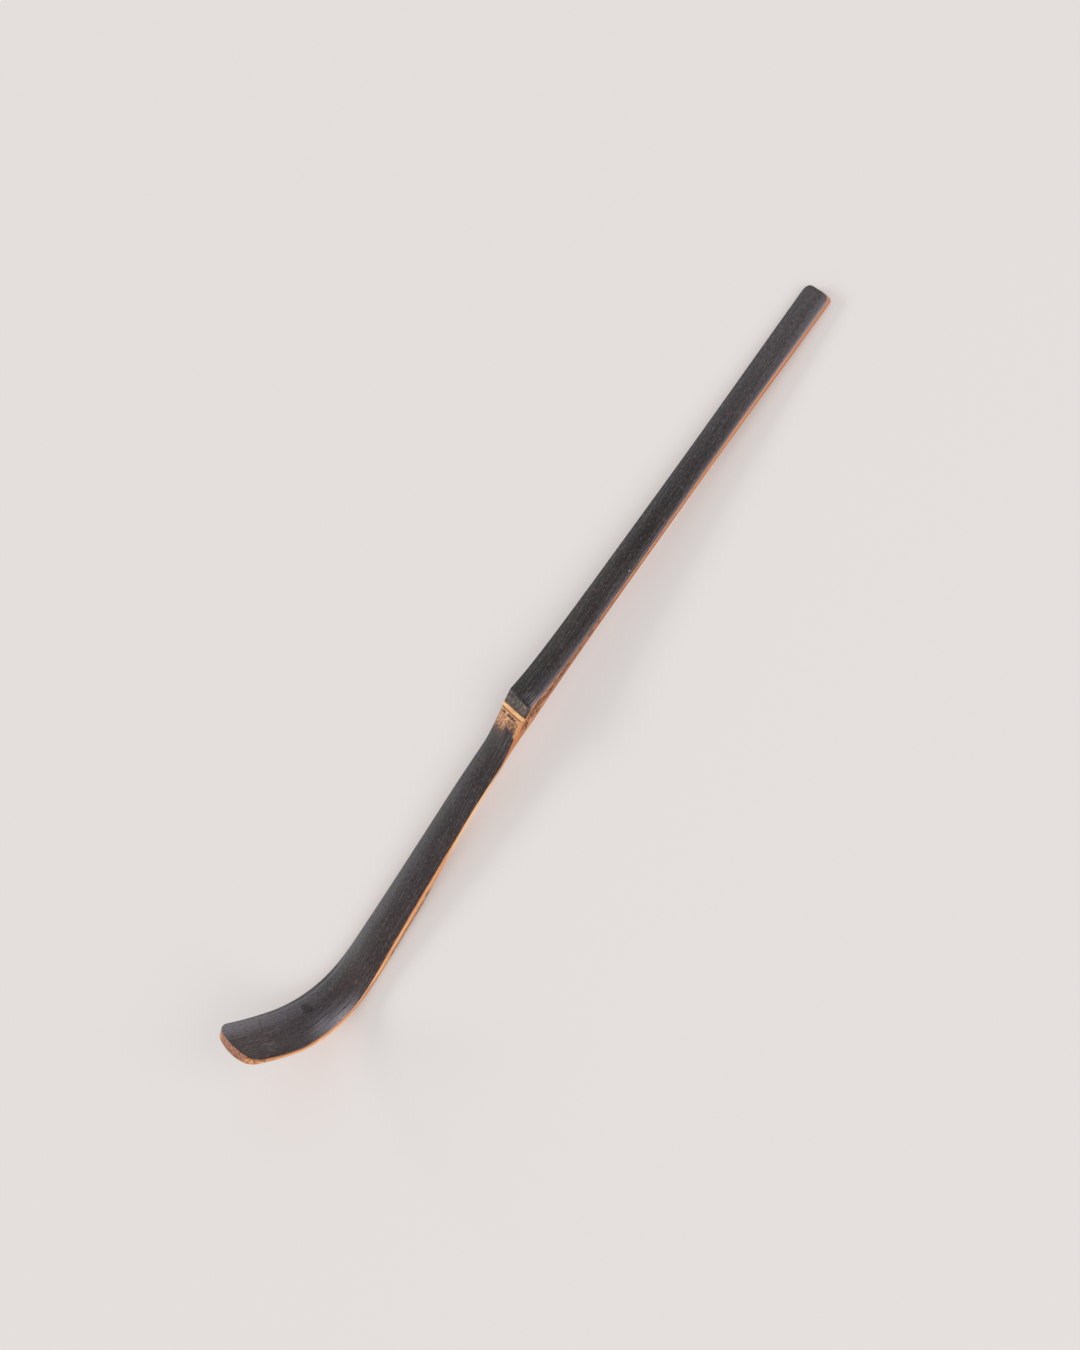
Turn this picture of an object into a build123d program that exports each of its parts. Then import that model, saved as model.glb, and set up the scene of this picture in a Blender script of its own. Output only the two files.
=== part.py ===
from build123d import *
from dataclasses import dataclass, replace
from math import atan2, degrees, exp
import os

# A bamboo tea scoop. One strip of the culm wall is carved to shape, its outer skin in front,
# and one end is bent up over heat into a shallow bowl. It lies on its back, bowl up, as on a
# table. +X points to the handle end, +Y runs across and +Z is up. The origin is on the table
# under the middle of the scoop. Lengths are in millimetres and angles in degrees.

# The front line, followed from the square handle end over the node to the tip of the bowl
handle_length = 92.5
handle_angle = 1.5
throat_length = 56.0
throat_angle = -4.8
entry_radius = 45.0
entry_angle = 8.0
bend_radius = 18.5
bend_angle = 52.0
exit_radius = 65.0
exit_angle = 7.5
tip_length = 2.45

# Widths across the front
end_width = 6.15
grip_width = 5.75
ridge_width = 6.3
waist_width = 5.95
throat_width = 8.2
bowl_width = 11.8

# Depths of the square-cut sides, and the bevel that takes off the back's corners
end_side_depth = 1.15
grip_side_depth = 1.25
ridge_side_depth = 3.15
waist_side_depth = 1.15
belly_side_depth = 2.05
bowl_side_depth = 1.2
tip_side_depth = 1.0
back_bevel = 0.45
planing_spare = 0.3

# The node: a ridge that swells out of the front, with a shallow dip below it
node_rise = 1.25
node_reach = 6.5
root_reach = 7.6
waist_distance = 10.8
waist_dip = 0.24
ridge_slant_angle = 6.0
scar_slant_angle = 2.8
slant_reach = 9.0

# Roundness across the front: the culm's own curve, hollowed where the bowl is. The back is
# rounded there too.
culm_radius = 22.0
bowl_hollow = 0.5
tip_hollow = 0.32
bowl_back_crown = 0.4
tip_back_crown = 1.0

# Skin, sheath scar, bare patch and the root of the culm's inner wall
skin_thickness = 0.35
scar_distance = 2.55
scar_width = 0.78
scar_depth = 0.5
scar_proud = 0.12
bare_patch = 4.1
root_distance = 1.3
root_radius = 0.75

# Corners of both ends seen from the front, and the small rounding along the front's edges
end_corner = 1.6
tip_corner = 2.4
tip_crown = 0.65
edge_rounding = 0.16

# Cutting tools reach this far past what they cut
overrun = 1.5
corner_overlap = 0.05


@dataclass
class Station:
    """A cross-section of the strip. Heights are measured from the front line, square to it."""

    distance: float  # from the handle end, along the front line
    width: float
    rise: float  # height of the front's edges
    side: float  # depth of the square-cut sides
    crown: float  # how far the middle of the front stands above its edges
    slant: float = 0.0  # how far the section is turned, its near side towards the bowl
    spare: float = 0.0  # what is left on the back for the plane to take off
    back_crown: float = 0.0  # how far the middle of the back stands out past its edges


def share_between(low, high, share):
    """The value that lies a share of the way from low to high."""
    return low + (high - low) * share


def eased(share):
    """A share that starts and stops gently."""
    return share**2 * (3 - 2 * share)


def natural_crown(width):
    """How far the culm's round outside stands above the edges of a strip this wide."""
    return width**2 / (8 * culm_radius)


# The front line is drawn in the side view
handle_line = PolarLine((0, 0), handle_length, 180 - handle_angle)
throat_line = PolarLine(handle_line @ 1, throat_length, 180 - throat_angle)
entry_arc = JernArc(throat_line @ 1, throat_line % 1, entry_radius, -entry_angle)
bend_arc = JernArc(entry_arc @ 1, entry_arc % 1, bend_radius, -bend_angle)
exit_arc = JernArc(bend_arc @ 1, bend_arc % 1, exit_radius, -exit_angle)
tip_line = Line(exit_arc @ 1, exit_arc @ 1 + (exit_arc % 1) * tip_length)
front_line = Plane.XZ * Wire([handle_line, throat_line, entry_arc, bend_arc, exit_arc, tip_line])
waist_start = handle_length + waist_distance
bend_start = handle_length + throat_length
bend_end = bend_start + entry_arc.length + bend_arc.length
front_length = front_line.length


def front_plane(distance, slant=0.0):
    """The section plane at a distance: local X points to the near side, local Y out of the front."""
    on_line = min(max(distance, 0), front_length)
    heading = front_line.tangent_at(on_line, PositionMode.LENGTH)
    origin = front_line.position_at(on_line, PositionMode.LENGTH) + heading * (distance - on_line)
    square = Plane(origin, x_dir=(0, -1, 0), z_dir=heading)
    return Plane(square.location * Rot(0, -slant, 0))


# The handle from its end to the ridge, and what is left on its back for planing
handle_shares = (
    (0.0, 1.0),
    (0.2, 1.0),
    (0.4, 1.0),
    (0.52, 0.6),
    (0.62, -0.15),
    (0.76, 0.0),
    (0.87, 0.0),
    (0.93, 0.0),
    (0.97, 0.0),
    (1.0, 0.0),
)
# Where the handle is narrowest, and how far its back is planed flat
grip_share = 0.4
planed_share = 0.62
# The flank from the ridge to the waist, besides the two edges of the scar
flank_shares = (0.12, 0.45, 0.7, 1.0)
# How steeply the flank leaves the ridge, as a share of its mean slope
ridge_fall_share = 0.8
# From the waist to the bend: place, growth in width, what is left of the dip, growth of the side
throat_shares = (
    (0.1, 0.13, 0.78, 0.0),
    (0.2, 0.19, 0.25, 0.0),
    (0.3, 0.25, 0.0, 0.06),
    (0.5, 0.41, 0.0, 0.38),
    (0.73, 0.62, 0.0, 1.0),
)
# Round the bend: place, growth in width, growth of the hollow, thinning of the side
bend_shares = (
    (0.0, 0.0, 0.0, 0.34),
    (0.12, 0.06, 0.08, 0.47),
    (0.24, 0.16, 0.22, 0.6),
    (0.37, 0.3, 0.42, 0.73),
    (0.5, 0.445, 0.64, 0.84),
    (0.63, 0.59, 0.82, 0.93),
    (0.76, 0.735, 0.94, 0.98),
    (0.88, 0.87, 1.0, 1.0),
    (1.0, 0.965, 1.0, 1.0),
)
# From the bend to the tip: place, growth in width, thinning towards the tip
tip_shares = ((0.35, 0.99, 0.2), (0.7, 1.0, 0.6), (1.0, 1.0, 1.0))


def handle_station(share, spare_share):
    """On the handle, at a share of the way from its square end to the ridge of the node."""
    to_ridge = handle_length * (1 - share)
    if share <= grip_share:
        width = share_between(end_width, grip_width, eased(share / grip_share))
    else:
        part = eased((share - grip_share) / (1 - grip_share))
        width = share_between(grip_width, ridge_width, part)
    side = share_between(end_side_depth, grip_side_depth, share)
    if share > planed_share:
        side += (ridge_side_depth - grip_side_depth) * exp(-to_ridge / root_reach)
    return Station(
        handle_length * share,
        width,
        node_rise * exp(-to_ridge / node_reach),
        side,
        natural_crown(width),
        ridge_slant_angle * exp(-to_ridge / slant_reach),
        planing_spare * spare_share,
    )


def handle_stations():
    """From past the square end, over the slender grip, to the ridge of the node."""
    stations = [handle_station(*shares) for shares in handle_shares]
    past_end = replace(stations[0], distance=-overrun)
    return [past_end, *stations]


def flank_station(from_ridge):
    """On the flank that falls from the ridge, across the sheath scar, to the waist."""
    share = from_ridge / waist_distance
    left = (1 - share) ** 2 * (1 + (2 - ridge_fall_share) * share)
    width = share_between(waist_width, ridge_width, left)
    if from_ridge < scar_distance:
        slant = share_between(ridge_slant_angle, scar_slant_angle, from_ridge / scar_distance)
    elif from_ridge <= scar_distance + scar_width:
        slant = scar_slant_angle
    else:
        below_scar = from_ridge - scar_distance - scar_width
        slant = scar_slant_angle * (1 - below_scar / (waist_distance - scar_distance - scar_width))
    return Station(
        handle_length + from_ridge,
        width,
        share_between(-waist_dip, node_rise, left),
        share_between(waist_side_depth, ridge_side_depth, left),
        natural_crown(width),
        slant,
    )


def lower_stations():
    """From the ridge, down the flank and the throat and round the bend, to past the tip."""
    from_ridge = [share * waist_distance for share in flank_shares]
    from_ridge += [0.0, scar_distance, scar_distance + scar_width]
    stations = [flank_station(distance) for distance in sorted(from_ridge)]
    for place, growth, dip, belly in throat_shares:
        width = share_between(waist_width, throat_width, growth)
        stations.append(
            Station(
                share_between(waist_start, bend_start, place),
                width,
                -waist_dip * dip,
                share_between(waist_side_depth, belly_side_depth, belly),
                natural_crown(width),
            )
        )
    for place, growth, hollow, thinning in bend_shares:
        width = share_between(throat_width, bowl_width, growth)
        stations.append(
            Station(
                share_between(bend_start, bend_end, place),
                width,
                0.0,
                share_between(belly_side_depth, bowl_side_depth, thinning),
                share_between(natural_crown(width), -bowl_hollow, hollow),
                back_crown=bowl_back_crown * hollow**2,
            )
        )
    for place, growth, thinning in tip_shares:
        stations.append(
            Station(
                share_between(bend_end, front_length, place),
                share_between(throat_width, bowl_width, growth),
                0.0,
                share_between(bowl_side_depth, tip_side_depth, thinning),
                -share_between(bowl_hollow, tip_hollow, thinning),
                back_crown=share_between(bowl_back_crown, tip_back_crown, thinning),
            )
        )
    stations.append(replace(stations[-1], distance=front_length + overrun))
    return stations


def front_height(station, across):
    """Height of the front at a place across the strip."""
    return station.rise + station.crown * (1 - (2 * across / station.width) ** 2)


def front_curve(station, reach, lift=0.0):
    """The front's curve, out to the same reach on both sides and lifted by a constant."""
    end_height = front_height(station, reach) + lift
    middle_height = station.rise + station.crown + lift
    return Bezier((-reach, end_height), (0, 2 * middle_height - end_height), (reach, end_height))


def strip_section(station):
    """The strip's outline: rounded front edges, square sides, bevelled back."""
    half = station.width / 2
    front = front_curve(station, half - edge_rounding)
    side_foot = station.rise - station.side
    bevel = back_bevel + station.spare
    back = side_foot - bevel
    middle_back = back - station.back_crown
    rounding = Bezier(front @ 1, (half, station.rise), (half, station.rise - edge_rounding))
    side = Polyline(rounding @ 1, (half, side_foot), (half - bevel, back))
    half_back = Bezier(side @ 1, ((half - bevel) / 2, middle_back), (0, middle_back))
    half_outline = [rounding, *side.edges(), half_back]
    far_half = [edge.mirror(Plane.YZ) for edge in half_outline]
    outline = Wire([front, *half_outline, *far_half])
    return front_plane(station.distance, station.slant) * Face(outline)


def above_section(station, depth):
    """Everything in front of a curve that lies a depth below the front, with room at the sides."""
    reach = station.width / 2 + overrun
    floor_curve = front_curve(station, reach, -depth)
    top = station.rise + overrun
    walls = Polyline(floor_curve @ 1, (reach, top), (-reach, top), floor_curve @ 0)
    return front_plane(station.distance, station.slant) * Face(Wire([floor_curve, *walls.edges()]))


def end_cutter(distance, outwards, width, corner, crown=None):
    """What is taken off an end to leave it with round corners, and straight or crowned."""
    kept_reach = corner + overrun
    kept_width = width + 2 * corner_overlap
    kept = Pos(0, -kept_reach / 2) * Rectangle(kept_width, kept_reach)
    if crown:
        crown_radius = kept_width**2 / (8 * crown)
        kept &= Pos(0, -crown_radius) * Circle(crown_radius)
    kept = fillet(kept.vertices().group_by(Axis.Y)[-1], corner)
    taken_reach = corner + 2 * overrun
    taken = Pos(0, taken_reach / 2 - corner) * Rectangle(width + 2 * overrun, taken_reach)
    section = front_plane(distance)
    ahead = section.z_dir * outwards
    seen_from_front = Plane(section.origin, x_dir=ahead.cross(section.y_dir), z_dir=section.y_dir)
    reach = end_side_depth + back_bevel + tip_back_crown + overrun
    return extrude(seen_from_front * (taken - kept), reach, both=True)


def back_point(station):
    """The middle of the finished back at a station."""
    back_height = station.rise - station.side - back_bevel - station.back_crown
    return front_plane(station.distance).from_local_coords(Vector(0, back_height, 0))


def scar_section(station):
    """The scar's outline: proud of the front, and rooted in the wood."""
    half = station.width / 2
    top = front_curve(station, half, scar_proud)
    foot = front_curve(station, half, -scar_depth)
    outline = Wire([top, Line(top @ 1, foot @ 1), foot, Line(foot @ 0, top @ 0)])
    return front_plane(station.distance, station.slant) * Face(outline)


# The back of the handle is planed flat from its end to where the node's root begins
heel = back_point(handle_station(0.0, 0.0))
planed_to = back_point(handle_station(planed_share, 0.0))
planed_back = Plane(heel, x_dir=planed_to - heel, z_dir=(planed_to - heel).cross(Vector(0, 1, 0)))
planed_reach = (planed_to - heel).length + 2 * overrun
shavings = Pos(planed_reach / 2 - 2 * overrun, 0, overrun / 2) * Box(
    planed_reach, end_width + 2 * overrun, overrun
)

# The whole scoop, before its layers are told apart
handle_blank = loft([strip_section(station) for station in handle_stations()])
handle_blank -= end_cutter(0.0, -1, end_width, end_corner)
handle_blank -= planed_back * shavings
lower_blank = loft([strip_section(station) for station in lower_stations()])
lower_blank -= end_cutter(front_length, 1, bowl_width, tip_corner, tip_crown)
scoop = handle_blank + lower_blank

# The skin is what lies above a curve just under the front. Across the node it is parted by
# the scar and by a bare patch, where the knife has gone through to the wood.
scar_top = flank_station(scar_distance)
scar_foot = flank_station(scar_distance + scar_width)
bare_foot = flank_station(scar_distance + scar_width + bare_patch)
above_handle = loft([above_section(station, skin_thickness) for station in handle_stations()])
above_lower = loft([above_section(station, skin_thickness) for station in lower_stations()])
to_scar = front_plane(scar_top.distance, scar_top.slant)
from_bare_patch = front_plane(bare_foot.distance, bare_foot.slant)
above_node = above_handle + split(above_lower, to_scar, Keep.BOTTOM)
above_bowl = split(above_lower, from_bare_patch, Keep.TOP)
handle_skin = scoop & above_node
bowl_skin = scoop & above_bowl

# The scar sits in a slot across the whole strip
sheath_scar = loft([scar_section(scar_top), scar_section(scar_foot)])
scar_slot = loft([above_section(scar_top, scar_depth), above_section(scar_foot, scar_depth)])

# The root of the culm's inner wall is left as a half-round bar, planed flush with the back
root_station = flank_station(root_distance)
root_height = root_station.rise - root_station.side - back_bevel
root_bar = Pos(0, root_height) * Rot(0, 90, 0) * Cylinder(root_radius, ridge_width + 2 * overrun)
root_bar = front_plane(root_station.distance, root_station.slant) * root_bar
diaphragm_root = scoop & root_bar

bamboo_strip = scoop - above_node - above_bowl - scar_slot - root_bar

# The scoop rests on the back of its square end and on the back of the bend
hang_angles = [
    degrees(atan2(heel.Z - point.Z, heel.X - point.X))
    for point in map(back_point, lower_stations())
]
pieces = {
    "bamboo_strip": bamboo_strip,
    "handle_skin": handle_skin,
    "sheath_scar": sheath_scar,
    "bowl_skin": bowl_skin,
    "diaphragm_root": diaphragm_root,
}
level = Rot(0, max(hang_angles), 0)
room = (level * scoop).bounding_box()
to_origin = Pos(-room.center().X, -room.center().Y, -room.min.Z)

os.makedirs("parts", exist_ok=True)
for name, piece in pieces.items():
    export_step(to_origin * level * piece, f"parts/{name}.step")
planed_middle = Pos((planed_to - heel).length / 2, 0, 0)
planed_place = Plane(to_origin * level * planed_back.location * planed_middle)
print(f"Front line {front_length:.1f}, lying at {max(hang_angles):.2f} degrees, room {room.size}")
print(f"Middle of the planed back {planed_place.origin}, facing {planed_place.z_dir}")
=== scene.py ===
from bisect import bisect_right
from math import cos, exp, pi, radians, sin, sqrt

import bmesh
import bpy
from mathutils import Matrix, Vector


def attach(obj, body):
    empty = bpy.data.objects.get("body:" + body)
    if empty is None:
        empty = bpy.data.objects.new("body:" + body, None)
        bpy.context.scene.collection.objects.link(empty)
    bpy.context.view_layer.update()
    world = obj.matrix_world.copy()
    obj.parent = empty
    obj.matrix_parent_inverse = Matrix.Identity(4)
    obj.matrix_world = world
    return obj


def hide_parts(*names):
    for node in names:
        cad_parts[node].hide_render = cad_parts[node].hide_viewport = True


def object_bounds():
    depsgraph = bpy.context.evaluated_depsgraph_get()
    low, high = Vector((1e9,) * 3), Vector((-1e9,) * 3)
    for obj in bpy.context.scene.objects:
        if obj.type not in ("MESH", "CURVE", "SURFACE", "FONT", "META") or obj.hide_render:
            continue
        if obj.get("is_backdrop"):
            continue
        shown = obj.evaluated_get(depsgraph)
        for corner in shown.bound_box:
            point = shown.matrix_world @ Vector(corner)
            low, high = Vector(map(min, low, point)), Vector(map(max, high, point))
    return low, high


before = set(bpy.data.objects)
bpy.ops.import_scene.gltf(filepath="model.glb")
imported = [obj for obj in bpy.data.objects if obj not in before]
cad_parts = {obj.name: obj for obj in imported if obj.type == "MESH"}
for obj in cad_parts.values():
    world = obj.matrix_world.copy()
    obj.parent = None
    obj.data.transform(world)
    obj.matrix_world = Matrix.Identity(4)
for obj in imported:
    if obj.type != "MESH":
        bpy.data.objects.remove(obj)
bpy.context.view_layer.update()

# The camera stands on the near side and looks down on the front of the scoop through a long
# lens. It is rolled so that the handle rises to the upper right. Sizes here are in metres.
view_azimuth = radians(8.99)
view_elevation = radians(51.57)
view_roll = radians(-62.94)
view_distance = 0.7
view_target = Vector((0.001, 0.0, 0.00588))
lens_length = 101.31

camera_turn = (
    Matrix.Rotation(view_azimuth, 4, "Z")
    @ Matrix.Rotation(pi / 2 - view_elevation, 4, "X")
    @ Matrix.Rotation(view_roll, 4, "Z")
)
camera_place = view_target + camera_turn.to_3x3() @ Vector((0, 0, view_distance))
camera_data = bpy.data.cameras.new("camera")
camera_data.lens = lens_length
camera = bpy.data.objects.new("camera", camera_data)
camera.matrix_world = Matrix.Translation(camera_place) @ camera_turn
bpy.context.collection.objects.link(camera)
bpy.context.scene.camera = camera
bpy.context.scene.view_settings.view_transform = "Standard"

# The floor is a plain pale sheet, and the air round it is as pale. Seen straight or in a
# reflection it keeps its colour, and takes a faint shadow. To other light it is a matt sheet.
pale = (0.784, 0.745, 0.730, 1.0)
floor_size = 6.0
shadow_share = 0.75


class Tone:
    """A socket of a material's nodes. Sums and products on it add Math nodes."""

    def __init__(self, tree, socket=None):
        self.tree = tree
        self.socket = socket

    def node(self, kind, settings, inputs, output=0):
        """A new node of any kind, with its settings, and values or links for its sockets."""
        made = self.tree.nodes.new(kind)
        for name, value in settings.items():
            if name == "stops":
                ramp = made.color_ramp.elements
                ramp.remove(ramp[1])
                ramp[0].position, ramp[0].color = value[0]
                for position, colour in value[1:]:
                    ramp.new(position).color = colour
            else:
                setattr(made, name, value)
        for name, value in inputs.items():
            if isinstance(value, Tone):
                self.tree.links.new(value.socket, made.inputs[name])
            else:
                made.inputs[name].default_value = value
        return Tone(self.tree, made.outputs[output] if made.outputs else None)

    def math(self, operation, first, second=0.0):
        return self.node("ShaderNodeMath", {"operation": operation}, {0: first, 1: second})

    def __add__(self, other):
        return self.math("ADD", self, other)

    def __radd__(self, other):
        return self.math("ADD", other, self)

    def __sub__(self, other):
        return self.math("SUBTRACT", self, other)

    def __rsub__(self, other):
        return self.math("SUBTRACT", other, self)

    def __mul__(self, other):
        return self.math("MULTIPLY", self, other)

    def __rmul__(self, other):
        return self.math("MULTIPLY", other, self)

    def split(self):
        """The three parts of a vector or a colour."""
        made = self.tree.nodes.new("ShaderNodeSeparateXYZ")
        self.tree.links.new(self.socket, made.inputs[0])
        return [Tone(self.tree, part) for part in made.outputs]

    def mixed(self, low, high):
        """A colour that is low where this is 0 and high where it is 1."""
        settings = {"data_type": "RGBA"}
        return self.node("ShaderNodeMix", settings, {0: self, 6: low, 7: high}, 2)

    def stepped(self, start, end):
        """0 before start and 1 past end, with a soft step between. End may come first."""
        settings = {"interpolation_type": "SMOOTHSTEP"}
        inputs = {"Value": self, "From Min": start, "From Max": end}
        return self.node("ShaderNodeMapRange", settings, inputs)


floor_mesh = bpy.data.meshes.new("floor")
build = bmesh.new()
bmesh.ops.create_grid(build, x_segments=1, y_segments=1, size=floor_size / 2)
build.to_mesh(floor_mesh)
build.free()
floor = bpy.data.objects.new("floor", floor_mesh)
bpy.context.collection.objects.link(floor)
floor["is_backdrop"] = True

floor_paint = bpy.data.materials.new("floor")
floor_paint.use_nodes = True
floor_paint.node_tree.nodes.clear()
start = Tone(floor_paint.node_tree)
matt = start.node("ShaderNodeBsdfDiffuse", {}, {"Color": pale})
plain = start.node("ShaderNodeEmission", {}, {"Color": pale, "Strength": 1.0})
shown = start.node("ShaderNodeMixShader", {}, {0: shadow_share, 1: plain, 2: matt})
camera_ray = start.node("ShaderNodeLightPath", {}, {}, "Is Camera Ray")
glossy_ray = start.node("ShaderNodeLightPath", {}, {}, "Is Glossy Ray")
through_ray = start.node("ShaderNodeLightPath", {}, {}, "Is Transmission Ray")
to_eye = start.math("MAXIMUM", start.math("MAXIMUM", camera_ray, glossy_ray), through_ray)
surface = start.node("ShaderNodeMixShader", {}, {0: to_eye, 1: matt, 2: shown})
start.node("ShaderNodeOutputMaterial", {}, {"Surface": surface})
floor_mesh.materials.append(floor_paint)

# Soft light comes from an even dome, a low wide softbox behind the scoop and a broad one in
# front of it. The camera sees the pale floor's colour in place of the dome.
dome_strength = 0.56
softboxes = (
    ("back_light", (-0.8, 1.9, 0.9), (1.6, 0.6), 22.0),
    ("front_light", (0.5, -2.1, 1.4), (1.8, 1.3), 36.0),
)
world = bpy.data.worlds.new("room")
bpy.context.scene.world = world
world.use_nodes = True
world.node_tree.nodes.clear()
start = Tone(world.node_tree)
camera_ray = start.node("ShaderNodeLightPath", {}, {}, "Is Camera Ray")
backdrop = start.node("ShaderNodeBackground", {}, {"Color": pale, "Strength": 1.0})
dome = start.node("ShaderNodeBackground", {}, {"Color": (1, 1, 1, 1), "Strength": dome_strength})
sky = start.node("ShaderNodeMixShader", {}, {0: camera_ray, 1: dome, 2: backdrop})
start.node("ShaderNodeOutputWorld", {}, {"Surface": sky})
for name, place, (wide, high), power in softboxes:
    light = bpy.data.lights.new(name, "AREA")
    light.shape = "RECTANGLE"
    light.size = wide
    light.size_y = high
    light.energy = power
    lamp = bpy.data.objects.new(name, light)
    lamp.location = place
    lamp.rotation_euler = (-Vector(place)).to_track_quat("-Z", "Y").to_euler()
    bpy.context.collection.objects.link(lamp)


# The strip is one piece of smoked bamboo, split from the culm and carved to shape with a
# knife. Its front is the culm's outside. One end was bent up over heat into the bowl. Its
# wood shows on the sides, the back and both ends. Lengths are in millimetres from here on.
handle_length = 92.5
throat_length = 56.0
tip_length = 2.45
bends = ((45.0, 8.0), (18.5, 52.0), (65.0, 7.5))
handle_start = (88.041, 1.62)
handle_climb = 2.61
throat_fall = 3.69
ridge = handle_length
bend_start = handle_length + throat_length

# The front line as runs: where each starts, its first heading, and its radius if it bends
runs = [(0.0, *handle_start, pi - radians(handle_climb), None)]
turned = pi + radians(throat_fall)
at = handle_length
x = handle_start[0] - handle_length * cos(radians(handle_climb))
z = handle_start[1] + handle_length * sin(radians(handle_climb))
runs.append((at, x, z, turned, None))
at += throat_length
x += throat_length * cos(turned)
z += throat_length * sin(turned)
for radius, angle in bends:
    runs.append((at, x, z, turned, radius))
    after = turned - radians(angle)
    at += radius * radians(angle)
    x += radius * (sin(turned) - sin(after))
    z += radius * (cos(after) - cos(turned))
    turned = after
runs.append((at, x, z, turned, None))
front_length = at + tip_length


def on_front_line(place):
    """The front line's point at a distance from the handle end, and its heading there."""
    run = runs[max(bisect_right([run[0] for run in runs], place) - 1, 0)]
    at, x, z, heading, radius = run
    gone = place - at
    if radius:
        after = heading - gone / radius
        x += radius * (sin(heading) - sin(after))
        z += radius * (cos(after) - cos(heading))
        return Vector((x, 0, z)), Vector((cos(after), 0, sin(after)))
    ahead = Vector((cos(heading), 0, sin(heading)))
    return Vector((x, 0, z)) + ahead * gone, ahead


class Profile:
    """A measure that changes smoothly along the strip, through the places where it is known."""

    def __init__(self, *known):
        self.places = [place for place, value in known]
        self.values = [value for place, value in known]
        slopes = [(b[1] - a[1]) / (b[0] - a[0]) for a, b in zip(known, known[1:])]
        self.slopes = [slopes[0]]
        for before, after in zip(slopes, slopes[1:]):
            even = before * after > 0
            self.slopes.append(2 * before * after / (before + after) if even else 0.0)
        self.slopes.append(slopes[-1])

    def __call__(self, place):
        after = min(max(bisect_right(self.places, place), 1), len(self.places) - 1)
        span = self.places[after] - self.places[after - 1]
        t = min(max((place - self.places[after - 1]) / span, 0.0), 1.0)
        low = (1 + 2 * t) * (1 - t) ** 2 * self.values[after - 1]
        high = (3 - 2 * t) * t**2 * self.values[after]
        leave = t * (1 - t) ** 2 * self.slopes[after - 1] * span
        reach = t**2 * (t - 1) * self.slopes[after] * span
        return low + high + leave + reach


strip_width = Profile(
    (0, 6.15), (9, 6.08), (18.5, 5.95), (28, 5.81), (37, 5.75), (65, 6.03), (84, 6.27),
    (92.5, 6.3), (96, 6.16), (103.3, 5.95), (107.8, 6.24), (112.3, 6.38), (116.9, 6.51),
    (125.9, 6.87), (136.3, 7.35), (148.5, 8.2), (151.3, 8.42), (154, 8.78), (157, 9.28),
    (160, 9.8), (163, 10.32), (166, 10.85), (168.8, 11.33), (171.6, 11.67), (175.6, 11.76),
    (179.3, 11.8), (183, 11.8),
)
side_depth = Profile(
    (103.3, 1.15), (107.8, 1.15), (112.3, 1.15), (116.9, 1.2), (125.9, 1.49), (136.3, 2.05),
    (148.5, 1.76), (151.3, 1.65), (154, 1.54), (157, 1.43), (160, 1.34), (163, 1.26),
    (166, 1.22), (169, 1.2), (171.6, 1.2), (175.4, 1.16), (179.1, 1.08), (182.5, 1.0),
)
dip_depth = Profile((103.3, 0.24), (107.8, 0.187), (112.3, 0.06), (116.9, 0.0), (120, 0.0))
hollowed = Profile(
    (148.5, 0), (151.3, 0.08), (154, 0.22), (157, 0.42), (160, 0.64), (163, 0.82), (166, 0.94),
    (169, 1), (172, 1),
)
bowl_hollow = Profile((171.6, 0.5), (175.4, 0.464), (179.1, 0.392), (182.5, 0.32))
bowl_back = Profile((171.6, 0.4), (175.4, 0.52), (179.1, 0.76), (182.5, 1.0))
cut_slant = Profile((92.5, 6.0), (95.05, 2.8), (95.83, 2.8), (103.3, 0.0), (110, 0.0))
culm_radius = 22.0
node_rise = 1.25
node_reach = 6.5
root_reach = 7.6
end_side = 1.15
ridge_side = 1.25
node_side = 3.15
waist_side = 1.15
ridge_slant = 6.0
slant_reach = 9.0
flank_length = 10.8
flank_bulge = 1.2
flank_dip = 0.24
back_bevel = 0.45
end_corner = 1.6
tip_corner = 2.4
tip_crown = 0.65
crown_reach = 6.0
end_rounding = 0.16
arris_radius = 0.2


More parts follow.
